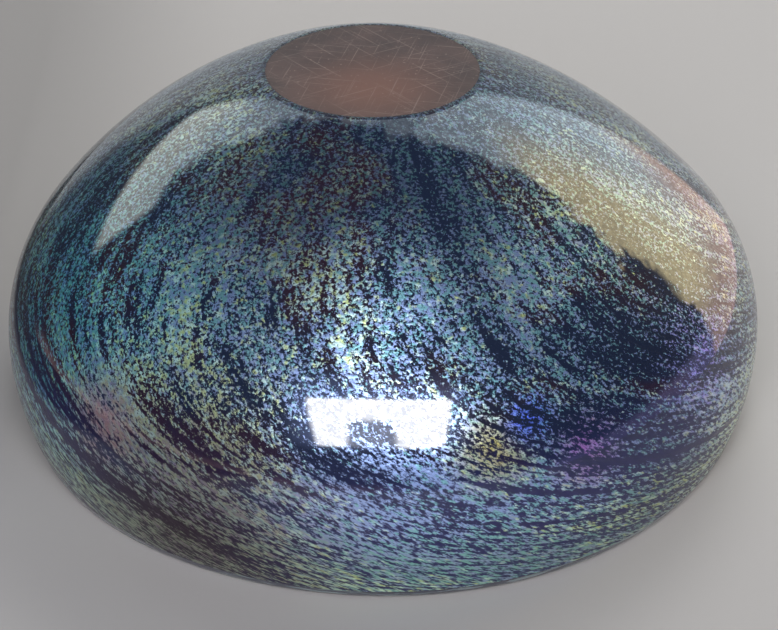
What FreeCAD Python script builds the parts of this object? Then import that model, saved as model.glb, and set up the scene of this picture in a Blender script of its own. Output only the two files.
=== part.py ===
import FreeCAD, Part
import math
import os
import Sketcher

# Art glass bowl, built up as hot glass is: a thick amber gather, a thin casing of rolled-in
# silver frit over its outside, and a plain fire-polished bead where the mouth was finished.
# It stands on its ground base with the mouth up, +Z up, origin at the centre of the ground base.
# Every piece is a turned shape, so each is one closed half section revolved about the Z axis.
# The wall's outside is three arcs that meet smoothly: a flat belly arc that rises from the ground
# base, a tight shoulder arc up to the widest level, and an incurve arc that leans in to the mouth.

SIZES = {
    "bowl_height": (112.0, "ground base to the top of the mouth"),
    "widest_diameter": (230.0, "outside, at the widest level"),
    "widest_height": (83.5, "height of the widest level"),
    "base_diameter": (65.0, "outer edge of the ground base"),
    "belly_radius": (170.0, "arc from the ground base to the shoulder"),
    "shoulder_radius": (52.0, "arc from the belly to the widest level"),
    "incurve_radius": (67.0, "arc from the widest level in to the mouth"),
    "wall_thickness": (5.5, "gather and casing together"),
    "casing_thickness": (0.6, "frit casing over the shoulder and the incurve"),
    "casing_edge": (0.9, "ring of casing cut open by the ground base"),
    "base_thickness": (9.0, "solid glass under the middle of the bowl"),
    "floor_blend_radius": (80.0, "inside curve from the floor to the belly"),
    "lip_height": (3.0, "plain bead above the top of the frit casing"),
}

START = 1
END = 2
CENTRE = 3
LEVEL_AXIS = -1
UPRIGHT_AXIS = -2
ORIGIN = (LEVEL_AXIS, START)


def size(name):
    return SIZES[name][0]


def write_sheet(doc):
    """Writes one row for each driving dimension: its name, its value and what it measures."""
    sheet = doc.addObject("Spreadsheet::Sheet", "Sizes")
    for row, (name, (value, meaning)) in enumerate(SIZES.items(), start=1):
        sheet.set(f"A{row}", name)
        sheet.set(f"B{row}", str(value))
        sheet.setAlias(f"B{row}", name)
        sheet.set(f"C{row}", meaning)
    doc.recompute()


def meeting_point(first, first_reach, second, second_reach):
    """The point at these two distances from two points, on the left of the way between them."""
    across = second - first
    span = across.Length
    along = (first_reach**2 - second_reach**2 + span**2) / (2 * span)
    aside = math.sqrt(first_reach**2 - along**2)
    forward = across / span
    left = FreeCAD.Vector(-forward.y, forward.x, 0)
    return first + forward * along + left * aside


def shoulder_centre():
    return FreeCAD.Vector(size("widest_diameter") / 2 - size("shoulder_radius"), size("widest_height"), 0)


def incurve_centre():
    return FreeCAD.Vector(size("widest_diameter") / 2 - size("incurve_radius"), size("widest_height"), 0)


def belly_centre(edge_inset=0.0):
    """Centre of the belly arc that leaves the base this far inside its outer edge."""
    edge = FreeCAD.Vector(size("base_diameter") / 2 - edge_inset, 0, 0)
    reach = size("belly_radius") - size("shoulder_radius")
    return meeting_point(edge, size("belly_radius") - thinned(edge_inset), shoulder_centre(), reach)


def thinned(edge_inset):
    """The casing's share of a belly arc's radius: none outside, its thickness on its inside."""
    return size("casing_thickness") if edge_inset else 0.0


class HalfSection:
    """A sketch of one piece's half section, drawn near its shape and then held by constraints."""

    def __init__(self, body, name):
        self.sketch = body.newObject("Sketcher::SketchObject", name)
        planes = [plane for plane in body.Origin.OriginFeatures if plane.Role == "XZ_Plane"]
        self.sketch.AttachmentSupport = [(planes[0], "")]
        self.sketch.MapMode = "FlatFace"

    def arc(self, centre, radius, start_angle, end_angle):
        circle = Part.Circle(centre, FreeCAD.Vector(0, 0, 1), radius)
        return self.sketch.addGeometry(Part.ArcOfCircle(circle, start_angle, end_angle), False)

    def line(self, start, end, construction=False):
        return self.sketch.addGeometry(Part.LineSegment(start, end), construction)

    def hold(self, kind, *where):
        return self.sketch.addConstraint(Sketcher.Constraint(kind, *where))

    def measure(self, kind, where, value, name, formula):
        """A named dimension whose value follows a formula of the sheet's sizes."""
        self.sketch.renameConstraint(self.hold(kind, *where, value), name)
        self.sketch.setExpression(f"Constraints.{name}", formula)

    def end_of(self, item, which):
        return self.sketch.getPoint(item, which)

    def close(self, first, second):
        """A straight edge between two open ends, each given as (item, end)."""
        edge = self.line(self.end_of(*first), self.end_of(*second))
        self.hold("Coincident", edge, START, *first)
        self.hold("Coincident", edge, END, *second)
        return edge

    def revolve(self, body, name):
        turned = body.newObject("PartDesign::Revolution", name)
        turned.Profile = self.sketch
        turned.ReferenceAxis = (self.sketch, ["V_Axis"])
        turned.Angle = 360
        body.Tip = turned


def upper_arcs(section, side, inset, inset_formula, join_angle):
    """Draws one face of the wall from the belly up: the shoulder and incurve arcs.

    The face lies this far inside the outer one and stops at the bead's seat."""
    shoulder_radius = size("shoulder_radius") - inset
    incurve_radius = size("incurve_radius") - inset
    seat, seat_formula = seat_height(inset, inset_formula)
    shoulder = section.arc(shoulder_centre(), shoulder_radius, join_angle, 0.0)
    incurve = section.arc(incurve_centre(), incurve_radius, 0.0, seat_lean())
    section.measure("DistanceX", (*ORIGIN, shoulder, CENTRE), shoulder_centre().x,
                    side + "_shoulder_x", "Sizes.widest_diameter / 2 - Sizes.shoulder_radius")
    section.measure("DistanceY", (*ORIGIN, shoulder, CENTRE), shoulder_centre().y,
                    side + "_shoulder_y", "Sizes.widest_height")
    section.measure("Radius", (shoulder,), shoulder_radius,
                    side + "_shoulder_radius", "Sizes.shoulder_radius" + inset_formula)
    section.hold("Horizontal", shoulder, CENTRE, shoulder, END)
    section.hold("Tangent", shoulder, END, incurve, START)
    section.measure("Radius", (incurve,), incurve_radius,
                    side + "_incurve_radius", "Sizes.incurve_radius" + inset_formula)
    section.measure("DistanceY", (*ORIGIN, incurve, END), seat, side + "_seat", seat_formula)
    return shoulder, incurve


def seat_lean():
    """Angle above level of the bead's seat, a cut square across the wall."""
    return math.asin((size("bowl_height") - size("lip_height") - size("widest_height")) / size("incurve_radius"))


def seat_height(inset, inset_formula):
    """How high the seat meets a face of the wall, and the formula that keeps it there."""
    height = size("widest_height") + (size("incurve_radius") - inset) * math.sin(seat_lean())
    above_widest = "(Sizes.bowl_height - Sizes.lip_height - Sizes.widest_height)"
    share = f"(Sizes.incurve_radius{inset_formula}) / Sizes.incurve_radius"
    return height, f"Sizes.widest_height + {above_widest} * {share}"


def wall_face(section, side, inset, inset_formula, edge_inset, edge_formula):
    """Draws one face of the casing: belly, shoulder and incurve arcs up to the bead's seat."""
    centre = belly_centre(edge_inset)
    radius = size("belly_radius") - inset
    edge = FreeCAD.Vector(size("base_diameter") / 2 - edge_inset, 0, 0)
    join_angle = angle_from(centre, shoulder_centre())
    belly = section.arc(centre, radius, angle_from(centre, edge), join_angle)
    shoulder, incurve = upper_arcs(section, side, inset, inset_formula, join_angle)
    section.hold("Tangent", belly, END, shoulder, START)
    section.measure("Radius", (belly,), radius, side + "_belly_radius", "Sizes.belly_radius" + inset_formula)
    section.hold("PointOnObject", belly, START, LEVEL_AXIS)
    section.measure("DistanceX", (*ORIGIN, belly, START), edge.x,
                    side + "_edge", "Sizes.base_diameter / 2" + edge_formula)
    return belly, incurve


def angle_from(centre, point):
    return math.atan2(point.y - centre.y, point.x - centre.x)


def casing_inner_face(section, side):
    """The face where the casing and the gather meet, drawn alike in both pieces."""
    return wall_face(section, side, size("casing_thickness"), " - Sizes.casing_thickness",
                     size("casing_edge"), " - Sizes.casing_edge")


def cavity_faces(section):
    """Draws the inside of the bowl: incurve, shoulder and belly arcs, floor blend and flat floor."""
    wall = size("wall_thickness")
    centre = belly_centre()
    belly_radius = size("belly_radius") - wall
    blend_radius = size("floor_blend_radius")
    floor = size("base_thickness")
    rise = centre.y - floor - blend_radius
    blend_centre = FreeCAD.Vector(centre.x + math.sqrt((belly_radius - blend_radius)**2 - rise**2),
                                  floor + blend_radius, 0)
    join_angle = angle_from(centre, shoulder_centre())
    blend_angle = angle_from(centre, blend_centre)
    shoulder, incurve = upper_arcs(section, "cavity", wall, " - Sizes.wall_thickness", join_angle)
    belly = section.arc(centre, belly_radius, blend_angle, join_angle)
    blend = section.arc(blend_centre, blend_radius, -math.pi / 2, blend_angle)
    section.hold("Tangent", belly, END, shoulder, START)
    section.measure("Radius", (belly,), belly_radius,
                    "cavity_belly_radius", "Sizes.belly_radius - Sizes.wall_thickness")
    follow_outer_belly(section, belly, centre)
    section.hold("Tangent", blend, END, belly, START)
    section.measure("Radius", (blend,), blend_radius, "blend_radius", "Sizes.floor_blend_radius")
    level = section.line(FreeCAD.Vector(0, floor, 0), FreeCAD.Vector(blend_centre.x, floor, 0))
    section.hold("Horizontal", level)
    section.hold("PointOnObject", level, START, UPRIGHT_AXIS)
    section.hold("Tangent", level, END, blend, START)
    section.measure("DistanceY", (*ORIGIN, level, START), floor,
                    "floor_height", "Sizes.base_thickness")
    return incurve, level


def follow_outer_belly(section, belly, centre):
    """Ties the cavity's belly arc to the centre of the bowl's outer belly arc.

    That centre is one belly radius from the outer edge of the ground base."""
    edge = FreeCAD.Vector(size("base_diameter") / 2, 0, 0)
    ray = section.line(centre, edge, construction=True)
    section.hold("Coincident", ray, START, belly, CENTRE)
    section.hold("PointOnObject", ray, END, LEVEL_AXIS)
    section.measure("DistanceX", (*ORIGIN, ray, END), edge.x,
                    "outer_edge", "Sizes.base_diameter / 2")
    section.measure("Distance", (ray,), size("belly_radius"), "outer_belly_radius", "Sizes.belly_radius")


def make_gather(doc):
    """The amber gather: the wall, the thick base and the ground flat that the bowl stands on."""
    body = doc.addObject("PartDesign::Body", "AmberGather")
    body.Label = "amber_gather"
    section = HalfSection(body, "GatherSection")
    belly, incurve = casing_inner_face(section, "outside")
    cavity, level = cavity_faces(section)
    section.close((incurve, END), (cavity, END))
    base = section.line(FreeCAD.Vector(0, 0, 0), section.end_of(belly, START))
    section.hold("Coincident", base, START, *ORIGIN)
    section.hold("Coincident", base, END, belly, START)
    section.close((level, START), (base, START))
    section.revolve(body, "GatherTurned")
    return body


def make_casing(doc):
    """The frit casing: a skin over the outside, ground away on the base, ending under the bead."""
    body = doc.addObject("PartDesign::Body", "FritCasing")
    body.Label = "frit_casing"
    section = HalfSection(body, "CasingSection")
    outer_belly, outer_incurve = wall_face(section, "outside", 0.0, "", 0.0, "")
    inner_belly, inner_incurve = casing_inner_face(section, "inside")
    section.close((outer_incurve, END), (inner_incurve, END))
    section.close((inner_belly, START), (outer_belly, START))
    section.revolve(body, "CasingTurned")
    return body


def make_bead(doc):
    """The lip bead: plain glass round the mouth, its top a half round as wide as the wall."""
    body = doc.addObject("PartDesign::Body", "LipBead")
    body.Label = "lip_bead"
    section = HalfSection(body, "BeadSection")
    half_wall = size("wall_thickness") / 2
    top_centre_height = size("bowl_height") - half_wall
    middle_radius = size("incurve_radius") - half_wall
    lean = math.asin((top_centre_height - size("widest_height")) / middle_radius)
    towards_bead = FreeCAD.Vector(math.cos(lean), math.sin(lean), 0)
    outer = bead_side(section, "outside", 0.0, "", lean)
    inner = bead_side(section, "inside", size("wall_thickness"), " - Sizes.wall_thickness", lean)
    top = section.arc(incurve_centre() + towards_bead * middle_radius, half_wall, lean, lean + math.pi)
    section.hold("Tangent", outer, END, top, START)
    section.hold("Tangent", top, END, inner, END)
    section.measure("DistanceY", (*ORIGIN, top, CENTRE), top_centre_height,
                    "round_height", "Sizes.bowl_height - Sizes.wall_thickness / 2")
    section.close((inner, START), (outer, START))
    section.revolve(body, "BeadTurned")
    return body


def bead_side(section, side, inset, inset_formula, lean):
    """The short run of one wall face between the bead's seat and its round top."""
    seat, seat_formula = seat_height(inset, inset_formula)
    radius = size("incurve_radius") - inset
    run = section.arc(incurve_centre(), radius, seat_lean(), lean)
    section.measure("DistanceX", (*ORIGIN, run, CENTRE), incurve_centre().x,
                    side + "_centre_x", "Sizes.widest_diameter / 2 - Sizes.incurve_radius")
    section.measure("DistanceY", (*ORIGIN, run, CENTRE), incurve_centre().y,
                    side + "_centre_y", "Sizes.widest_height")
    section.measure("Radius", (run,), radius, side + "_radius", "Sizes.incurve_radius" + inset_formula)
    section.measure("DistanceY", (*ORIGIN, run, START), seat, side + "_seat", seat_formula)
    return run


def check(doc, bodies):
    """Stops the build if a feature failed or a piece isn't one sound solid."""
    for item in doc.Objects:
        if "Invalid" in item.State or "Error" in item.State:
            raise RuntimeError(f"{item.Name} is {item.State}")
    for body in bodies:
        shape = body.Shape
        if shape.isNull() or not shape.isValid() or len(shape.Solids) != 1:
            raise RuntimeError(f"{body.Label} is not one valid solid")


def main():
    doc = FreeCAD.newDocument("ArtGlassBowl")
    write_sheet(doc)
    bodies = [make_gather(doc), make_casing(doc), make_bead(doc)]
    doc.recompute()
    check(doc, bodies)
    os.makedirs("parts", exist_ok=True)
    for body in bodies:
        body.Shape.exportStep(f"parts/{body.Label}.step")
        box = body.Shape.optimalBoundingBox()
        print(body.Label, f"{body.Shape.Volume / 1000:.1f} cm3,", f"radius {box.XMax:.2f},",
              f"from {box.ZMin:.2f} up to {box.ZMax:.2f} mm")


main()
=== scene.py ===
# %% [markdown]
# # A blown art glass bowl
# The bowl is three layers of glass: a dark amber gather, a thin skin of rolled-in silver frit and a plain
# bead at the mouth. The frame holds their true sizes. Each layer is drawn again here as a closed half
# section and spun round, the way glass is turned on the pipe, and then pushed slightly out of true,
# because nothing that is swung and reheated by hand stays a perfect circle.

# %% Load the frame and measure it
import math
from types import SimpleNamespace
import bpy
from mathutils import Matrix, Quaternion, Vector


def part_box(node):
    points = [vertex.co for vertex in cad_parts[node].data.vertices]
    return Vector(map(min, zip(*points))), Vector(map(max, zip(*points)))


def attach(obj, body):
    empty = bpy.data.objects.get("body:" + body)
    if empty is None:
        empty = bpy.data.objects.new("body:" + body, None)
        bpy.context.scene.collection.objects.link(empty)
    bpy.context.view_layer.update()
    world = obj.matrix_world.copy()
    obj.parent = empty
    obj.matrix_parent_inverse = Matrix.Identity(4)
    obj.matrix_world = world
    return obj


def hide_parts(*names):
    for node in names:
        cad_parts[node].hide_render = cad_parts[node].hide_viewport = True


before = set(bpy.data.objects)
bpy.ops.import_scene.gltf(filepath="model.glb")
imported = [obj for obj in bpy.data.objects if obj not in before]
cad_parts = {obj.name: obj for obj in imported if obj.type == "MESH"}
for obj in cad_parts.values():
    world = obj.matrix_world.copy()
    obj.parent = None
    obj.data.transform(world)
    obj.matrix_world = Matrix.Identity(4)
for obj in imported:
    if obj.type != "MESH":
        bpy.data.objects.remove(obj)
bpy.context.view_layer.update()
casing_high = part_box("frit_casing")[1]
bead_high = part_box("lip_bead")[1]
HEIGHT = bead_high.z
WIDEST_RADIUS = casing_high.x
print(f"bowl {HEIGHT * 1000:.0f} mm high, {WIDEST_RADIUS * 2000:.0f} mm across")

# %% [markdown]
# ## The wall's curve
# The outside of the wall is three arcs that run smoothly into each other: a long belly arc from the ground
# base, a tighter shoulder up to the widest level and a short arc leaning in to the mouth. Arcs give an
# exact wall: the same centres with smaller radii draw the inside. All lengths are in metres.

# %% Radii and thicknesses of the three arcs
WIDEST_HEIGHT = 0.0835
BASE_RADIUS = 0.0325
BELLY_RADIUS = 0.170
SHOULDER_RADIUS = 0.052
INCURVE_RADIUS = 0.067
WALL = 0.0055
CASING = 0.0006
CASING_EDGE = 0.0009
FLOOR_HEIGHT = 0.009
FLOOR_BLEND = 0.080
LIP_HEIGHT = 0.003
FULL_TURN = 2 * math.pi


def on_circle(centre, radius, angle):
    """A point of the half section: x is the distance from the axis and y the height."""
    return centre + radius * Vector((math.cos(angle), math.sin(angle)))


def bearing(centre, point):
    """The angle at which a point is seen from a centre."""
    return math.atan2(point.y - centre.y, point.x - centre.x)


def meeting_point(first, first_reach, second, second_reach):
    """The point at these distances from two points, to the left of the way between them."""
    span = (second - first).length
    along = (first_reach**2 - second_reach**2 + span**2) / (2 * span)
    aside = math.sqrt(first_reach**2 - along**2)
    forward = (second - first) / span
    return first + forward * along + Vector((-forward.y, forward.x)) * aside


def belly_centre(edge_inset, thinning):
    """Centre of a belly arc that starts at the base this far inside its outer edge."""
    edge = Vector((BASE_RADIUS - edge_inset, 0.0))
    return meeting_point(edge, BELLY_RADIUS - thinning, shoulder_centre, BELLY_RADIUS - SHOULDER_RADIUS)


shoulder_centre = Vector((WIDEST_RADIUS - SHOULDER_RADIUS, WIDEST_HEIGHT))
incurve_centre = Vector((WIDEST_RADIUS - INCURVE_RADIUS, WIDEST_HEIGHT))
outer_belly_centre = belly_centre(0.0, 0.0)
casing_belly_centre = belly_centre(CASING_EDGE, CASING)
seat_lean = math.asin((HEIGHT - LIP_HEIGHT - WIDEST_HEIGHT) / INCURVE_RADIUS)
round_lean = math.asin((HEIGHT - WALL / 2 - WIDEST_HEIGHT) / (INCURVE_RADIUS - WALL / 2))
print(f"the wall leans in {math.degrees(round_lean):.0f} degrees at the mouth")

# %% [markdown]
# ## Points along a half section
# Each piece needs a closed outline to spin. Faces that are seen get a point about every millimetre, so that
# reflections run over them without a kink, and faces fused to another layer get fewer.

# %% Outlines of the wall faces
FINE_STEP = 0.0012
COARSE_STEP = 0.006


def arc(centre, radius, start, end, step):
    """Points along an arc, both ends included."""
    count = max(2, round(abs(end - start) * radius / step))
    return [on_circle(centre, radius, start + (end - start) * i / count) for i in range(count + 1)]


def joined(*runs):
    """One outline from several runs of points, without the doubled point where two runs meet."""
    points = []
    for run in runs:
        for point in run:
            if not points or (point - points[-1]).length > 1e-7:
                points.append(point)
    return points


def wall_face(inset, centre, start_angle, step):
    """One face of the wall, from its lowest point up to the bead's seat."""
    join = bearing(centre, shoulder_centre)
    return joined(arc(centre, BELLY_RADIUS - inset, start_angle, join, step),
                  arc(shoulder_centre, SHOULDER_RADIUS - inset, join, 0.0, step),
                  arc(incurve_centre, INCURVE_RADIUS - inset, 0.0, seat_lean, step))


def outer_face(step):
    start = bearing(outer_belly_centre, Vector((BASE_RADIUS, 0.0)))
    return wall_face(0.0, outer_belly_centre, start, step)


def fused_face(step):
    """The face where the frit skin and the gather meet."""
    start = bearing(casing_belly_centre, Vector((BASE_RADIUS - CASING_EDGE, 0.0)))
    return wall_face(CASING, casing_belly_centre, start, step)


def cavity_face(step):
    """The inside of the bowl, from the axis out over the floor and up the wall."""
    reach = BELLY_RADIUS - WALL - FLOOR_BLEND
    rise = outer_belly_centre.y - FLOOR_HEIGHT - FLOOR_BLEND
    blend_centre = Vector((outer_belly_centre.x + math.sqrt(reach**2 - rise**2), FLOOR_HEIGHT + FLOOR_BLEND))
    blend_angle = bearing(outer_belly_centre, blend_centre)
    rings = round(blend_centre.x / step)
    level = [Vector((blend_centre.x * i / rings, FLOOR_HEIGHT)) for i in range(rings + 1)]
    return joined(level, arc(blend_centre, FLOOR_BLEND, -math.pi / 2, blend_angle, step),
                  wall_face(WALL, outer_belly_centre, blend_angle, step))


def bead_outline(step):
    """The bead: a short run up each face of the wall and a half round over the top."""
    middle = on_circle(incurve_centre, INCURVE_RADIUS - WALL / 2, round_lean)
    return joined(arc(incurve_centre, INCURVE_RADIUS, seat_lean, round_lean, step),
                  arc(middle, WALL / 2, round_lean, round_lean + math.pi, step),
                  arc(incurve_centre, INCURVE_RADIUS - WALL, round_lean, seat_lean, step))


print(f"{len(outer_face(FINE_STEP))} points up the outside, {len(cavity_face(FINE_STEP))} up the inside")

# %% [markdown]
# ## Spinning a section
# In the hot shop the pipe is always turning, so every layer is a turned shape. By hand this is one outline,
# extruded point by point, and one spin about the upright axis. A spin leaves doubled points at the seam
# and on the axis, so they are merged before the normals are turned outwards.

# %% A turned piece from an outline
TURN_STEPS = 240
MERGE = 1e-6


def select_nothing():
    bpy.ops.object.select_all(action="DESELECT")
    bpy.context.view_layer.objects.active = None


def start_outline(name, first):
    """A new mesh with a single point, made from a small plane with three corners taken away."""
    select_nothing()
    bpy.ops.mesh.primitive_plane_add(size=0.001, location=(0, 0, 0))
    piece = bpy.context.object
    piece.name = name
    bpy.ops.object.mode_set(mode="EDIT")
    bpy.ops.mesh.merge(type="CENTER")
    bpy.ops.transform.translate(value=(first.x, 0, first.y))
    return piece


def turned(name, outline):
    """Extrudes a closed outline round, spins it and closes it up."""
    piece = start_outline(name, outline[0])
    for here, there in zip(outline, outline[1:]):
        step = there - here
        bpy.ops.mesh.extrude_region_move(TRANSFORM_OT_translate={"value": (step.x, 0, step.y)})
    home = outline[0] - outline[-1]
    bpy.ops.mesh.extrude_region_move(TRANSFORM_OT_translate={"value": (home.x, 0, home.y)})
    bpy.ops.mesh.select_all(action="SELECT")
    bpy.ops.mesh.remove_doubles(threshold=MERGE)
    bpy.ops.mesh.select_all(action="SELECT")
    bpy.ops.mesh.spin(steps=TURN_STEPS, angle=FULL_TURN, center=(0, 0, 0), axis=(0, 0, 1))
    bpy.ops.mesh.select_all(action="SELECT")
    bpy.ops.mesh.remove_doubles(threshold=MERGE)
    bpy.ops.mesh.delete_loose()
    bpy.ops.mesh.select_all(action="SELECT")
    bpy.ops.mesh.normals_make_consistent(inside=False)
    bpy.ops.object.mode_set(mode="OBJECT")
    print(f"{name}: {len(piece.data.polygons)} faces")
    return piece


# %% [markdown]
# ## Out of true
# The mouth sits a few millimetres to one side of the ground base, and the wall is very slightly lobed: that
# is the sag of hot glass on a turning pipe. Every layer is moved by the same rule, so that they stay fused.

# %% Lean and lobes of a hand-made wall
MOUTH_SHIFT = -0.0035
LOBES = ((2, -0.0057, -0.0008), (3, -0.0071, 0.0021), (4, 0.0021, -0.0069))


def out_of_true(piece):
    """Moves each point a little with its height and its bearing; the ground base stays round."""
    for vertex in piece.data.vertices:
        x, y, z = vertex.co
        around = math.atan2(y, x)
        lobe = sum(a * math.cos(n * around) + b * math.sin(n * around) for n, a, b in LOBES)
        swell = 1 + lobe * min(1.0, 2 * z / HEIGHT)
        vertex.co = (x * swell + MOUTH_SHIFT * z / HEIGHT, y * swell, z)
    piece.data.update()


def finish_piece(piece, node, material):
    """Puts the piece in the frame: bends it out of true, gives it its shading and finish, hangs it on its
    body and hides the node that it stands for.
    """
    out_of_true(piece)
    select_nothing()
    piece.select_set(True)
    bpy.context.view_layer.objects.active = piece
    bpy.ops.object.shade_smooth_by_angle(angle=math.radians(30))
    piece.data.materials.clear()
    piece.data.materials.append(material)
    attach(piece, "root")
    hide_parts(node)
    return piece


# %% [markdown]
# ## Shader maths in Python
# A material is a graph of nodes, but its maths reads better as formulas. This class wraps one output
# socket, so that `1 - mask * 2` adds the Math nodes for it. Any other node comes from `add`.

# %% Wrapper for shader sockets
class Wire:
    """A value in a material: an output socket and the tree that it belongs to."""

    def __init__(self, tree, socket):
        self.tree = tree
        self.socket = socket

    def add(self, kind, settings=None, out=0, **inputs):
        """A new node of this kind, its settings first and then its inputs; returns one of its outputs."""
        return add_node(self.tree, kind, settings, out, **inputs)

    def maths(self, operation, *values):
        node = self.tree.nodes.new("ShaderNodeMath")
        node.operation = operation
        for number, value in enumerate((self, *values)):
            feed(self.tree, value, node.inputs[number])
        return Wire(self.tree, node.outputs[0])

    def __add__(self, other):
        return self.maths("ADD", other)

    def __radd__(self, other):
        return self.maths("ADD", other)

    def __sub__(self, other):
        return self.maths("SUBTRACT", other)

    def __rsub__(self, other):
        return self.maths("MULTIPLY", -1.0).maths("ADD", other)

    def __mul__(self, other):
        return self.maths("MULTIPLY", other)

    def __rmul__(self, other):
        return self.maths("MULTIPLY", other)

    def __truediv__(self, other):
        return self.maths("DIVIDE", other)

    def __pow__(self, other):
        return self.maths("POWER", other)

    def step(self, low, high):
        """0 below low, 1 above high and smooth between; low may be the larger."""
        return self.add("MapRange", {"interpolation_type": "SMOOTHSTEP"}, 0,
                        Value=self, From_Min=low, From_Max=high)


def feed(tree, value, socket):
    """Links a wire to a socket, or sets the socket's own value."""
    if isinstance(value, Wire):
        tree.links.new(value.socket, socket)
    else:
        socket.default_value = value


def add_node(tree, kind, settings=None, out=0, **inputs):
    """Adds ShaderNode<kind>; an underscore in an input's name stands for a space."""
    node = tree.nodes.new("ShaderNode" + kind)
    for name, value in (settings or {}).items():
        setattr(node, name, value)
    for name, value in inputs.items():
        key = name.replace("_", " ")
        sockets = [s for s in node.inputs if s.name == key and s.enabled]
        feed(tree, value, sockets[0])
    enabled = [s for s in node.outputs if s.enabled]
    return Wire(tree, node.outputs[out] if isinstance(out, str) else enabled[out])


def blend_colours(tree, share, first, second, how="MIX"):
    """A colour between two colours; first shows where share is 0."""
    settings = {"data_type": "RGBA", "blend_type": how}
    return add_node(tree, "Mix", settings, 0, Factor=share, A=first, B=second)


def colour(red, green, blue):
    return (red, green, blue, 1.0)


def new_material(name):
    material = bpy.data.materials.new(name)
    material.use_nodes = True
    material.node_tree.nodes.clear()
    return material


def surface(material, shader):
    """Ends a material in this shader."""
    output = material.node_tree.nodes.new("ShaderNodeOutputMaterial")
    material.node_tree.links.new(shader.socket, output.inputs["Surface"])


def place(tree):
    """Object coordinates, in metres from the centre of the ground base."""
    return add_node(tree, "TexCoord", None, "Object")


def noise(tree, where, scale, detail, roughness=0.6, lacunarity=2.0, out="Fac"):
    return add_node(tree, "TexNoise", None, out, Vector=where, Scale=scale, Detail=detail,
                    Roughness=roughness, Lacunarity=lacunarity)


# %% [markdown]
# ## The swirl
# The frit is rolled on while the gather is small. As the bowl is blown and opened the skin stretches with it,
# so marks fan out from the base, and as the rim is spun they are drawn round, most at the mouth. The pattern
# is therefore looked up by bearing and by way up the wall, with the bearing turned back more and more
# with height.

# %% Coordinates that fan out and unwind the swirl
SWIRL_POWER = 3.0
FAN_RADIUS = 0.100


def scaled(tree, where, factors):
    """A place multiplied along x, y and z."""
    node = tree.nodes.new("ShaderNodeVectorMath")
    node.operation = "MULTIPLY"
    feed(tree, where, node.inputs[0])
    node.inputs[1].default_value = factors
    return Wire(tree, node.outputs[0])


def turned_back(tree, where, turn):
    """The place with only the swirl taken out, so that marks keep their size from base to mouth."""
    height = add_node(tree, "SeparateXYZ", None, "Z", Vector=where)
    rise = (height / HEIGHT).maths("MAXIMUM", 0.0) ** SWIRL_POWER
    return add_node(tree, "VectorRotate", {"rotation_type": "Z_AXIS"}, 0, Vector=where, Angle=rise * turn)


def unwound(tree, where, turn, lift):
    """The place on a fanned, unwound wall; a lift below 1 stretches marks up and down it."""
    height = add_node(tree, "SeparateXYZ", None, "Z", Vector=where)
    level = scaled(tree, turned_back(tree, where, turn), (1.0, 1.0, 0.0))
    reach = add_node(tree, "VectorMath", {"operation": "LENGTH"}, "Value", Vector=level)
    heading = add_node(tree, "VectorMath", {"operation": "NORMALIZE"}, 0, Vector=level)
    ring = scaled(tree, heading, (FAN_RADIUS, FAN_RADIUS, 0.0))
    way_up = add_node(tree, "CombineXYZ", None, 0, Z=(reach * 0.8 + height) * lift)
    total = tree.nodes.new("ShaderNodeVectorMath")
    total.operation = "ADD"
    feed(tree, ring, total.inputs[0])
    feed(tree, way_up, total.inputs[1])
    return Wire(tree, total.outputs[0])


# %% [markdown]
# ## The frit skin's finish
# Crushed silver glass is fused over nearly black glass and then fumed with metal salts. Each grain is a tiny
# metallic fleck of its own tint, the gaps stay dark, and over all lies a clear, strongly reflecting lustre.
# Grain noise makes the flecks, slower noises drawn out along the swirl make the lines between them, and
# broad soft patches change the tint round the bowl, as the fumes reached one side more than the other.
# A few patches are painted light instead, brightening the grains where the window's halo and the table's
# reflection fall.

# %% Frit colours
GAP_NAVY = colour(0.005, 0.009, 0.022)
GAP_DUSK = colour(0.014, 0.014, 0.055)
GAP_PLUM = colour(0.013, 0.006, 0.012)
GRAIN_TEAL = colour(0.20, 0.43, 0.46)
GRAIN_STEEL = colour(0.26, 0.35, 0.58)
GRAIN_SILVER = colour(0.62, 0.84, 0.76)
GRAIN_STRAW = colour(0.54, 0.64, 0.27)
GRAIN_ASH = colour(0.44, 0.42, 0.36)
GRAIN_LILAC = colour(0.36, 0.26, 0.44)
GRAIN_GOLD = colour(0.52, 0.46, 0.16)
GRAIN_PURPLE = colour(0.44, 0.16, 0.52)
GRAIN_COBALT = colour(0.12, 0.20, 0.95)
GRAIN_ROSE = colour(0.62, 0.30, 0.34)
GRAIN_VIOLET = colour(0.34, 0.24, 0.78)
print("gap and grain colours mixed")
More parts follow.
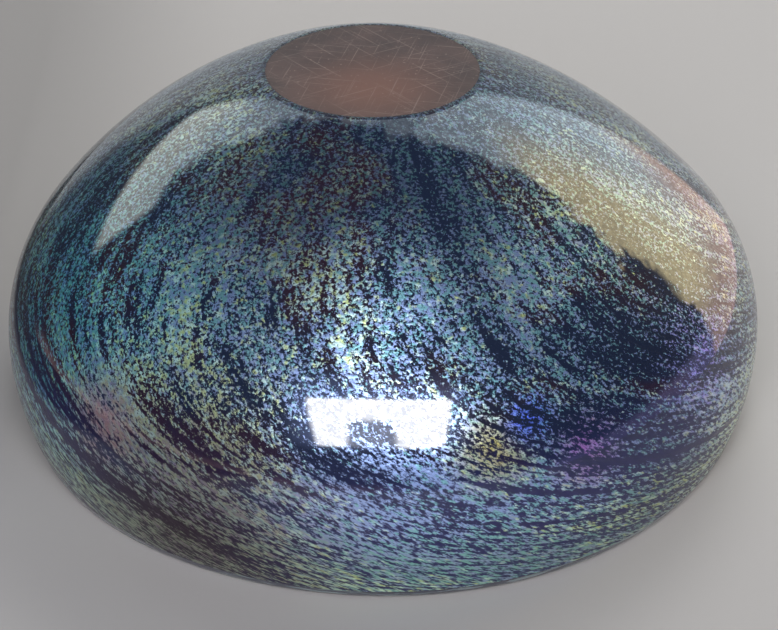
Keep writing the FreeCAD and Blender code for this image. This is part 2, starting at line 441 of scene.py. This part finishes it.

# %% [markdown]
# ### Patches of fume and of painted light
# The salts are sprayed or smoked on by hand, so they settle unevenly and leave parts of the bowl bluer,
# greener, duller or brighter. Some patches are painted light instead: a painted halo on each side of the
# window's highlight, a painted reflection of the table by the lip, and painted light on the blue side.
# Each patch is a soft ball round a point of the wall. Where the ball meets the skin it makes a mask, and
# the masks below only push the cover, the tint or the brightness a little.

# %% Patches where the fumes coloured the skin differently, and patches of painted light
# The centre of each, in metres from the middle of the ground base, and how far it reaches.
FUME_AND_PAINTED_LIGHT_PATCHES = {
    # The first patch is a blue tint of the skin, and it also brightens the grains there as painted light on
    # that side.
    "blue_side": ((0.096, -0.045, 0.050), 0.085),
    "green_side": ((0.048, -0.100, 0.054), 0.048),
    "dark_side": ((-0.078, -0.068, 0.052), 0.070),
    "base_side": ((0.004, -0.050, 0.008), 0.055),
    "cool_front": ((0.0, -0.108, 0.062), 0.045),
    # The next patch is a painted halo of light on the base side of the window's highlight.
    "glow_front": ((-0.003, -0.083, 0.030), 0.034),
    "left_front": ((0.062, -0.079, 0.045), 0.052),
    "right_front": ((-0.048, -0.066, 0.030), 0.032),
    "rose_side": ((0.080, -0.085, 0.070), 0.022),
    "violet_side": ((-0.096, -0.058, 0.066), 0.036),
    # The next patch is a painted reflection of the table, brightening and cooling the grains by the lip.
    "pale_lip": ((-0.025, -0.112, 0.092), 0.065),
    "dim_lip": ((0.054, -0.099, 0.095), 0.066),
    "right_lip": ((-0.088, -0.072, 0.084), 0.038),
    # The next patch is a painted blue halo on the lip side of the window's highlight.
    "blue_band": ((0.006, -0.113, 0.078), 0.044),
    "gold_arc": ((-0.033, -0.106, 0.065), 0.017),
    "purple_arc": ((-0.060, -0.096, 0.071), 0.018),
    "cobalt_dot": ((-0.042, -0.100, 0.059), 0.011),
}


def soft_spot(tree, where, centre, reach):
    """1 at a centre on the bowl, fading to 0 at this reach in metres."""
    node = tree.nodes.new("ShaderNodeVectorMath")
    node.operation = "DISTANCE"
    feed(tree, where, node.inputs[0])
    node.inputs[1].default_value = centre
    return Wire(tree, node.outputs["Value"]).step(reach, 0.0)


def fume_and_painted_light_patches(tree, where):
    """A mask for each patch, to be read by its name."""
    spots = {name: soft_spot(tree, where, *patch) for name, patch in FUME_AND_PAINTED_LIGHT_PATCHES.items()}
    return SimpleNamespace(**spots)


print(f"{len(FUME_AND_PAINTED_LIGHT_PATCHES)} fume and painted light patches")

# %% [markdown]
# ### Lines and grains
# Where the gather was touched by a tool, or two strokes of frit did not meet, a thin dark line stays and is
# drawn slantwise with the swirl. The grains come from two noises, finer on the belly and coarser up
# the wall towards the lip, where the skin is stretched the most.

# %% A dark line drawn slantwise near the lip
LINE_HEIGHT = 0.0890
LINE_SIDE = 0.071
LINE_SLOPE = 0.372


def dark_line(height, sideways):
    """1 along a line on the wall where no grains took, which thins out at both its ends."""
    middle = LINE_HEIGHT + (LINE_SIDE - sideways) * LINE_SLOPE
    line = (height - middle).maths("ABSOLUTE").step(0.0036, 0.0008)
    return line * sideways.step(0.010, 0.028) * sideways.step(0.098, 0.076)


print(f"the dark line slopes {math.degrees(math.atan(LINE_SLOPE)):.0f} degrees")

# %% Noises and masks that the finish shares
DRAWN_TURN = 2.1
DRAWN_LIFT = 0.20
GRAIN_TURN = 0.65
PATCH_TURN = 1.4


def frit_marks(tree):
    """The grains, the lines between them, the patches and the masks by height."""
    where = place(tree)
    height = add_node(tree, "SeparateXYZ", None, "Z", Vector=where)
    sideways = add_node(tree, "SeparateXYZ", None, "X", Vector=where)
    drawn = unwound(tree, where, DRAWN_TURN, DRAWN_LIFT)
    near = turned_back(tree, where, GRAIN_TURN)
    fine = noise(tree, near, 1020.0, 2.0, 0.75)
    coarse = noise(tree, near, 640.0, 2.0, 0.75)
    tint = noise(tree, near, 520.0, 1.0, 0.6, out="Color")
    marks = fume_and_painted_light_patches(tree, where)
    marks.height = height
    marks.upper_wall = height.step(0.055, 0.085)
    marks.by_lip = height.step(0.082, 0.100)
    marks.dark_line = dark_line(height, sideways)
    marks.grain = fine + (coarse - fine) * marks.upper_wall
    marks.lines = noise(tree, drawn, 260.0, 2.0, 0.6)
    marks.broad = noise(tree, drawn, 80.0, 2.0, 0.5)
    marks.patch = noise(tree, turned_back(tree, where, PATCH_TURN), 34.0, 3.0, 0.6)
    marks.first_tint = add_node(tree, "SeparateColor", None, 0, Color=tint)
    marks.second_tint = add_node(tree, "SeparateColor", None, 1, Color=tint)
    marks.third_tint = add_node(tree, "SeparateColor", None, 2, Color=tint)
    return marks


print(f"at the mouth the lines are turned back {math.degrees(DRAWN_TURN):.0f} degrees")

# %% [markdown]
# ### Cover, tint and gaps
# One number, the cover, says whether a grain or a gap shows. Its sum of noises is cut by a steep step, which
# gives the grains their sharp edges, and the same number drives the bump, so that the grains stand proud.
# The tint of a grain is picked by other noises, so that neighbours differ, and then shaded by the patches, of
# which some are painted light.

# %% How densely the grains lie
def grain_cover(marks):
    """Above about a half a grain shows, below it a gap."""
    gash = marks.lines.step(0.45, 0.36) * marks.height.step(0.006, 0.040)
    # Under the painted blue halo the dark band is left out, and both painted halos add a little cover at the
    # end.
    band = marks.broad.step(0.43, 0.33) * marks.height.step(0.050, 0.080) * (1.0 - marks.blue_band)
    cover = marks.grain + (marks.lines - 0.5) * 0.25 + (marks.broad - 0.5) * 0.28
    cover = cover + (marks.patch - 0.5) * 0.15 - gash * 0.085 - band * 0.12
    cover = cover - marks.dark_side * 0.10 - marks.green_side * 0.02 - marks.base_side * 0.03
    cover = cover - marks.dark_line * 0.12 - marks.dim_lip * 0.03 - marks.blue_side * 0.03
    cover = cover + marks.upper_wall * 0.02 + marks.violet_side * 0.04 + marks.left_front * 0.06
    return cover + marks.right_front * 0.05 + marks.glow_front * 0.03 + marks.blue_band * 0.03


# %% The tint of each grain
def mixed_grains(tree, marks, cover):
    """Cool and warm grains side by side, in a proportion that changes round the bowl."""
    steel_share = (marks.first_tint - marks.blue_side * 0.03 + marks.cool_front * 0.15).step(0.42, 0.58)
    straw_share = (marks.second_tint + marks.green_side * 0.12).step(0.46, 0.62)
    cool = blend_colours(tree, steel_share, GRAIN_TEAL, GRAIN_STEEL)
    warm = blend_colours(tree, straw_share, GRAIN_SILVER, GRAIN_STRAW)
    mood = (marks.patch - 0.5) * 0.9 + (marks.third_tint - 0.5) * 1.1 + (cover - 0.5) * 0.5 + 0.46
    # The painted reflection of the table and the painted blue halo also turn the grains cooler.
    mood = mood - marks.height.step(0.075, 0.0) * 0.10 - marks.pale_lip * 0.10 - marks.blue_side * 0.14
    mood = mood - marks.cool_front * 0.12 - marks.dark_side * 0.12 - marks.blue_band * 0.06
    mood = mood + marks.green_side * 0.10 + marks.left_front * 0.10 + marks.dim_lip * 0.08
    return blend_colours(tree, mood.step(0.38, 0.70), cool, warm)


def fumed_grains(tree, marks, grains):
    """Lays the colours of the small patches over the mixed grains."""
    layers = ((marks.dim_lip * 0.7, GRAIN_ASH),
              (marks.dim_lip * marks.second_tint.step(0.50, 0.62) * 0.8, GRAIN_LILAC),
              (marks.gold_arc * (marks.second_tint + 0.4), GRAIN_GOLD),
              (marks.purple_arc * (marks.third_tint + 0.3), GRAIN_PURPLE),
              (marks.cobalt_dot * (marks.first_tint + 0.5), GRAIN_COBALT),
              (marks.rose_side * (marks.second_tint + 0.4), GRAIN_ROSE),
              (marks.violet_side * marks.first_tint, GRAIN_VIOLET))
    for share, tint in layers:
        grains = blend_colours(tree, share, grains, tint)
    return grains


def grain_shade(tree, marks):
    """How bright the metal of the grains is: duller near the base and at the dim end of the lip, and lifted
    by painted light in the two halos round the window's highlight, in the table's reflection and on the blue
    side.
    """
    level = marks.height.step(0.012, 0.062) * 0.30 + 0.42
    # Painted light: the two halos round the window's highlight, the table's reflection and the blue side.
    level = level + marks.glow_front * 0.6 + marks.pale_lip * 0.40 + marks.left_front * 0.45
    level = level + marks.right_front * 0.35 + marks.blue_band * 0.30 + marks.violet_side * 0.30
    level = level + marks.dark_side * 0.18 + marks.blue_side * 0.15 - marks.dim_lip * 0.34
    level = level - marks.right_lip * 0.28 - marks.base_side * 0.12 - marks.cool_front * 0.15
    return add_node(tree, "CombineColor", None, 0, Red=level * (1.0 - marks.blue_side * 0.5), Green=level,
                    Blue=level * (1.0 - marks.by_lip * 0.22))


# %% The dark glass in the gaps
def gap_glass(tree, marks):
    plum_share = (marks.patch - marks.dark_side * 0.05 + marks.dim_lip * 0.10).step(0.44, 0.60)
    dusk_share = marks.upper_wall * (marks.third_tint + 0.3) * (1.0 - marks.dim_lip)
    gaps = blend_colours(tree, plum_share, GAP_NAVY, GAP_PLUM)
    return blend_colours(tree, dusk_share, gaps, GAP_DUSK)


# %% The whole skin
def frit_finish():
    material = new_material("silver frit under lustre")
    tree = material.node_tree
    marks = frit_marks(tree)
    cover = grain_cover(marks)
    fleck = cover.step(0.44, 0.62)
    grains = fumed_grains(tree, marks, mixed_grains(tree, marks, cover))
    grains = blend_colours(tree, 1.0, grains, grain_shade(tree, marks), "MULTIPLY")
    base = blend_colours(tree, fleck, gap_glass(tree, marks), grains)
    bump = add_node(tree, "Bump", None, 0, Strength=0.5, Distance=0.0003, Height=cover)
    sheen_break = (marks.grain + (marks.second_tint - 0.5) * 0.5).step(0.36, 0.60)
    lustre = (sheen_break * 0.28 + 0.72) * (1.0 - marks.upper_wall * 0.25 - marks.dim_lip * 0.15)
    skin = add_node(tree, "BsdfPrincipled", None, 0, Base_Color=base, Metallic=fleck * 0.8,
                    Roughness=0.48 - fleck * 0.14, Normal=bump, Specular_IOR_Level=0.05,
                    Coat_Weight=lustre, Coat_Roughness=0.04, Coat_IOR=1.7)
    surface(material, skin)
    return material


# %% [markdown]
# ## The amber gather's finish
# Inside, and on the ground base, the dark amber glass itself shows. Polished glass this thick lets so
# little light through that it reads as a deep brown with a clear gloss. The base was ground flat on a
# wheel, so it is satin, with fine scratches in every direction.

# %% Amber glass, glossy inside and satin on the base
AMBER_DARK = colour(0.050, 0.022, 0.012)
AMBER_CLEAR = colour(0.085, 0.034, 0.016)
GROUND_DARK = colour(0.050, 0.034, 0.030)
GROUND_PALE = colour(0.079, 0.050, 0.042)
GROUND_WORN = colour(0.136, 0.064, 0.044)
SCRATCH_DUST = colour(0.35, 0.27, 0.22)
SCRATCH_STRETCH = 60


def scratch_set(tree, where, turn, scale):
    """Fine straight scratches in one direction: noise that is far finer across it than along it."""
    turned_place = add_node(tree, "Mapping", {"vector_type": "TEXTURE"}, 0, Vector=where,
                            Rotation=(0, 0, turn), Scale=(1.0, 1 / SCRATCH_STRETCH, 1.0))
    return noise(tree, turned_place, scale, 2.0, 0.5).step(0.62, 0.72)


def amber_finish():
    material = new_material("dark amber glass")
    tree = material.node_tree
    where = place(tree)
    height = add_node(tree, "SeparateXYZ", None, "Z", Vector=where)
    worn = soft_spot(tree, where, (0.0, -0.013, 0.0), 0.032)
    ground = height.step(0.004, 0.002)
    cloud = noise(tree, where, 60.0, 4.0, 0.6)
    speck = noise(tree, where, 900.0, 1.0, 0.5).step(0.68, 0.76)
    marks = scratch_set(tree, where, 0.2, 26.0) + scratch_set(tree, where, 0.9, 22.0)
    marks = marks + scratch_set(tree, where, 1.8, 30.0) + scratch_set(tree, where, 2.6, 24.0)
    clouded = cloud.step(0.35, 0.65)
    body = blend_colours(tree, clouded, AMBER_DARK, AMBER_CLEAR)
    face = blend_colours(tree, clouded, GROUND_DARK, GROUND_PALE)
    face = blend_colours(tree, worn, face, GROUND_WORN)
    face = blend_colours(tree, ((marks + speck) * 0.30).maths("MINIMUM", 1.0), face, SCRATCH_DUST)
    base = blend_colours(tree, ground, body, face)
    glass = add_node(tree, "BsdfPrincipled", None, 0, Base_Color=base, Roughness=ground * 0.34 + 0.10,
                     Coat_Weight=0.5 - ground * 0.5, Coat_Roughness=0.05)
    surface(material, glass)
    return material


# %% [markdown]
# ## The lip's finish
# At the mouth the skin and the gather are melted together into a smooth bead. It is glossier than the wall,
# and the last grains of frit are drawn round it as thin silver lines.

# %% Fired lip glass
def lip_finish():
    material = new_material("fired lip glass")
    tree = material.node_tree
    where = place(tree)
    drawn = noise(tree, scaled(tree, where, (1.0, 1.0, 14.0)), 45.0, 4.0, 0.6)
    lines = drawn.step(0.48, 0.66)
    base = blend_colours(tree, lines, colour(0.012, 0.014, 0.030), colour(0.20, 0.25, 0.24))
    glass = add_node(tree, "BsdfPrincipled", None, 0, Base_Color=base, Metallic=lines * 0.5,
                     Roughness=0.22 + lines * 0.15, Coat_Weight=0.8, Coat_Roughness=0.03, Coat_IOR=1.8)
    surface(material, glass)
    return material


# %% [markdown]
# ## Making the three layers
# From the inside out: the amber gather with its ground base, the frit skin round it and the bead that closes
# both at the mouth. The outline of each runs one way round, from the ground base up and back down.

# %% The amber gather
foot = [Vector((0.0, 0.0)), Vector((BASE_RADIUS - CASING_EDGE - 0.0003, 0.0))]
amber_outline = joined(foot, fused_face(COARSE_STEP), list(reversed(cavity_face(FINE_STEP))))
amber_body = turned("amber_body", amber_outline)

# %% The frit skin
skin_outline = joined(outer_face(FINE_STEP), list(reversed(fused_face(COARSE_STEP))))
frit_skin = turned("frit_skin", skin_outline)

# %% The fired lip
fired_lip = turned("fired_lip", bead_outline(0.0006))

# %% Place and finish the layers
finish_piece(amber_body, "amber_gather", amber_finish())
finish_piece(frit_skin, "frit_casing", frit_finish())
finish_piece(fired_lip, "lip_bead", lip_finish())

# %% [markdown]
# ## A stage seen from both sides
# The bowl is usually looked at mouth down, to show its skin, so there is a pale table at its mouth which
# can be seen only from below. For views from above there is a floor at the base, which only the camera
# sees, so that it puts nothing into the reflections of the skin.

# %% Table at the mouth and floor at the base
def dimmed(tint, share):
    """A colour with its light lowered to this share."""
    return tuple(c * share for c in tint[:3]) + (1.0,)


def stage_finish(name, tint, shift):
    """Matt pale paper, invisible from behind. Its colour holds a painted shadow, as deep as the share given:
    darker across one side and a little towards the back, and nearly black in a strip along that side.
    """
    material = new_material(name)
    tree = material.node_tree
    where = place(tree)
    across = add_node(tree, "SeparateXYZ", None, "X", Vector=where)
    along = add_node(tree, "SeparateXYZ", None, "Y", Vector=where)
    # Painted shadow on the table: across one side, further out along it and a little towards the back; the
    # second blend below paints a nearly black strip along that side.
    painted_shadow_side = across.step(0.04, 0.15) * along.step(-0.080, 0.030)
    painted_shadow_edge = across.step(0.122, 0.142) * along.step(0.30, 0.24) * 0.25
    dim = (painted_shadow_side + painted_shadow_edge + along.step(0.10, 0.28) * 0.08).maths("MINIMUM", 1.0)
    tone = blend_colours(tree, dim, tint, dimmed(tint, shift))
    tone = blend_colours(tree, across.step(0.150, 0.172), tone, dimmed(tint, shift**6))
    paper = add_node(tree, "BsdfPrincipled", None, 0, Base_Color=tone, Roughness=0.6,
                     Specular_IOR_Level=0.2)
    clear = add_node(tree, "BsdfTransparent")
    behind = add_node(tree, "NewGeometry", None, "Backfacing")
    mixed = tree.nodes.new("ShaderNodeMixShader")
    tree.links.new(behind.socket, mixed.inputs[0])
    tree.links.new(paper.socket, mixed.inputs[1])
    tree.links.new(clear.socket, mixed.inputs[2])
    surface(material, Wire(tree, mixed.outputs[0]))
    return material


def flat_ring(name, height, inner, outer, centre_x, face_up):
    """A level ring, made from a circle that is extruded outwards."""
    select_nothing()
    bpy.ops.mesh.primitive_circle_add(vertices=TURN_STEPS, radius=inner, location=(centre_x, 0, height))
    ring = bpy.context.object
    ring.name = name
    bpy.ops.object.mode_set(mode="EDIT")
    bpy.ops.mesh.select_all(action="SELECT")
    bpy.ops.mesh.extrude_edges_move()
    bpy.ops.transform.resize(value=(outer / inner, outer / inner, 1))
    bpy.ops.mesh.select_all(action="SELECT")
    bpy.ops.mesh.normals_make_consistent(inside=False)
    bpy.ops.object.mode_set(mode="OBJECT")
    if (ring.data.polygons[0].normal.z > 0) != face_up:
        ring.data.flip_normals()
    bpy.ops.object.transform_apply(location=True, rotation=False, scale=False)
    return ring


TABLE_HOLE = 0.1045
TABLE_RADIUS = 0.342
FLOOR_HOLE = 0.001
FLOOR_RADIUS = 6.0
table = flat_ring("table_at_mouth", HEIGHT, TABLE_HOLE, TABLE_RADIUS, MOUTH_SHIFT, False)
table.data.materials.append(stage_finish("pale table", colour(0.294, 0.273, 0.249), 0.62))
floor = flat_ring("floor_at_base", 0.0, FLOOR_HOLE, FLOOR_RADIUS, 0.0, True)
floor.data.materials.append(stage_finish("pale floor", colour(0.40, 0.395, 0.39), 1.0))
floor.visible_glossy = False
floor.visible_diffuse = False
floor.visible_transmission = False
floor.visible_shadow = False
print("two stages, at the mouth and at the base")

# %% [markdown]
# ## The room that the lustre mirrors
# Curved dark glass shows mostly what stands round it. The room is painted on the world by direction:
# a window behind the viewer, a bright screen that arches behind the bowl, a grey sweep and dark walls.
# Angles are given for the bowl mouth down: azimuth 0 is behind it and grows to the right, and elevation
# grows away from the table.

# %% Paint the room by direction
WINDOW_LIGHT = 17.5
SCREEN_LIGHT = 2.4
SWEEP_LIGHT = 0.45
WALL_LIGHT = 0.035
HALO_LIGHT = 2.2
FRINGE_LIGHT = 1.4
ABOVE_LIGHT = 0.5
BACKDROP = colour(0.44, 0.43, 0.42)

world = bpy.data.worlds.new("studio room")
bpy.context.scene.world = world
world.use_nodes = True
room = world.node_tree
room.nodes.clear()


def glow(tint, strength):
    return tuple(c * strength for c in tint) + (1.0,)


def either(first, second):
    return first.maths("MAXIMUM", second)


look = add_node(room, "TexCoord", None, "Generated")
right = -1.0 * add_node(room, "SeparateXYZ", None, "X", Vector=look)
back = add_node(room, "SeparateXYZ", None, "Y", Vector=look)
up = -1.0 * add_node(room, "SeparateXYZ", None, "Z", Vector=look)
azimuth = right.maths("ARCTAN2", back) * (180 / math.pi)
elevation = up.maths("ARCSINE") * (180 / math.pi)
side = right.maths("ABSOLUTE")

arch_limit = right.step(-0.10, 0.10) * (side ** 1.4 * 0.12 - side * 0.39) + side * 0.39 + 0.33
folds = noise(room, look, 9.0, 2.0) - 0.5
under_arch = (back - arch_limit + folds * 0.16).step(-0.025, 0.025)
wing_edge = azimuth - elevation * 0.4 + folds * 30.0
right_wing = elevation.step(42.0, 36.0) * wing_edge.step(55.0, 51.0) * azimuth.step(40.0, 44.0)
left_wing = elevation.step(33.0, 29.0) * azimuth.step(-59.0, -55.0) * azimuth.step(-40.0, -44.0)
right_part = either(under_arch, right_wing) * azimuth.step(26.0, 29.0)
left_part = either(under_arch, left_wing) * azimuth.step(-28.0, -32.0) * elevation.step(16.0, 20.0)
top_part = under_arch * elevation.step(54.0, 60.0)
left_part = left_part * (elevation.step(36.0, 24.0) * 0.9 + 0.8)
screen = either(either(right_part, left_part), top_part * 0.6)
sweep = azimuth.step(34.0, 26.0) * azimuth.step(-31.0, -21.0)
sweep = sweep * elevation.step(70.0, 30.0) * back.step(-0.05, 0.1)

toward = (back * -1.0).maths("MAXIMUM", 0.05)
window_side = (right / toward).maths("ABSOLUTE")
window_rise = up / toward
pane = window_rise.step(0.31, 0.37) * window_rise.step(1.20, 1.13)
pane = pane * (window_side - window_rise * 0.22).step(0.30, 0.25) * back.step(-0.05, -0.15)
notch_side = (right / toward + 0.05).maths("ABSOLUTE")
notch = notch_side.step(0.17, 0.11) * window_rise.step(0.82, 0.70)
pane = pane * (1.0 - notch * 0.85)

screen_tint = blend_colours(room, azimuth.step(0.0, -20.0) * elevation.step(38.0, 24.0),
                            glow((0.72, 0.84, 0.92), SCREEN_LIGHT), glow((0.92, 0.98, 0.90), SCREEN_LIGHT))
screen_tint = blend_colours(room, azimuth.step(33.0, 56.0) * elevation.step(54.0, 40.0), screen_tint,
                            glow((1.62, 1.38, 0.76), SCREEN_LIGHT))
screen_tint = blend_colours(room, elevation.step(16.0, -3.0), screen_tint,
                            glow((0.74, 0.53, 0.44), SCREEN_LIGHT))
screen_tint = blend_colours(room, elevation.step(-6.0, -16.0), screen_tint,
                            glow((0.58, 0.38, 0.52), SCREEN_LIGHT))
walls = blend_colours(room, elevation.step(-5.0, 10.0), glow((0.8, 0.95, 1.2), WALL_LIGHT * 2),
                      glow((0.8, 0.9, 1.1), WALL_LIGHT))
fringe_top = azimuth.step(130.0, 80.0) * azimuth.step(40.0, 60.0) * 6.0
fringe = azimuth.maths("ABSOLUTE").step(52.0, 66.0) * (elevation - fringe_top).step(-4.0, -9.0)
fringe_tint = blend_colours(room, azimuth.step(-30.0, 30.0), glow((0.42, 0.28, 0.24), FRINGE_LIGHT),
                            glow((0.34, 0.31, 0.58), FRINGE_LIGHT))
walls = blend_colours(room, fringe, walls, fringe_tint)
scene_light = blend_colours(room, sweep, walls, glow((0.95, 1.0, 1.05), SWEEP_LIGHT))
scene_light = blend_colours(room, screen, scene_light, screen_tint)
halo = window_rise.step(0.24, 0.44) * window_rise.step(1.55, 1.15) * back.step(-0.05, -0.15)
halo = halo * (window_side - window_rise * 0.22).step(0.52, 0.26)
scene_light = blend_colours(room, halo * 0.8, scene_light, glow((0.55, 0.70, 1.35), HALO_LIGHT))
scene_light = blend_colours(room, pane, scene_light, glow((0.93, 0.96, 1.05), WINDOW_LIGHT))
scene_light = blend_colours(room, elevation.step(-25.0, -45.0), scene_light,
                            glow((1.0, 1.0, 1.0), ABOVE_LIGHT))
seen = add_node(room, "LightPath", None, "Is Camera Ray")
scene_light = blend_colours(room, seen, scene_light, BACKDROP)
shine = add_node(room, "Background", None, 0, Color=scene_light, Strength=1.0)
ending = room.nodes.new("ShaderNodeOutputWorld")
room.links.new(shine.socket, ending.inputs["Surface"])
print("room painted")

# %% [markdown]
# ## Light for the bowl the right way up
# Two soft panels above light the hollow of the bowl and the floor when it is seen from above. They are
# linked to those surfaces alone, so they leave the table and the skin's reflections as they are. A third,
# behind the bowl, is for the table alone and throws the bowl's soft shadow on it towards the viewer.

# %% Soft panels above the mouth
def group_of(name, members):
    group = bpy.data.collections.new(name)
    for member in members:
        group.objects.link(member)
    return group


lit = group_of("lit_from_above", [amber_body, floor])
blockers = group_of("casts_shadow_below", [amber_body, frit_skin, fired_lip])


def soft_panel(name, location, size, power, receivers, tint=(1.0, 1.0, 1.0)):
    """A square panel that faces the bowl."""
    select_nothing()
    bpy.ops.object.light_add(type="AREA", location=location)
    lamp = bpy.context.object
    lamp.name = name
    lamp.data.size = size
    lamp.data.energy = power
    lamp.data.color = tint
    aim = Vector((0, 0, HEIGHT / 2)) - Vector(location)
    lamp.rotation_euler = aim.to_track_quat("-Z", "Y").to_euler()
    lamp.visible_camera = False
    lamp.light_linking.receiver_collection = receivers
    lamp.light_linking.blocker_collection = blockers
    return lamp


soft_panel("key_panel", (-0.3, 1.0, 1.4), 1.0, 26.0, lit)
soft_panel("fill_panel", (0.4, 0.5, 1.7), 1.2, 14.0, lit)
under_table = group_of("lit_from_behind", [table])
soft_panel("back_panel", (-0.25, 0.75, -0.75), 0.5, 6.4, under_table, (0.96, 1.0, 1.04))

# %% [markdown]
# ## The camera
# It looks at the bowl mouth down from about half a metre above the table, with a long lens. In the frame the
# bowl stands the right way up, so the camera is below it and turned over.

# %% Camera
CAMERA_PITCH = 0.5223
CAMERA_YAW = 0.0016

select_nothing()
bpy.ops.object.camera_add(location=(-0.0035, -0.8089, -0.3823))
camera = bpy.context.object
aim = Vector((-math.sin(CAMERA_YAW) * math.cos(CAMERA_PITCH), math.cos(CAMERA_YAW) * math.cos(CAMERA_PITCH),
              math.sin(CAMERA_PITCH)))
camera.rotation_mode = "QUATERNION"
camera.rotation_quaternion = aim.to_track_quat("-Z", "Y") @ Quaternion((0, 0, 1), math.pi - 0.0008)
camera.data.sensor_width = 36.0
camera.data.lens = 140.24
camera.data.clip_start = 0.01
bpy.context.scene.camera = camera
bpy.context.scene.view_settings.view_transform = "Standard"

# %% End of the scene
print("scene built")
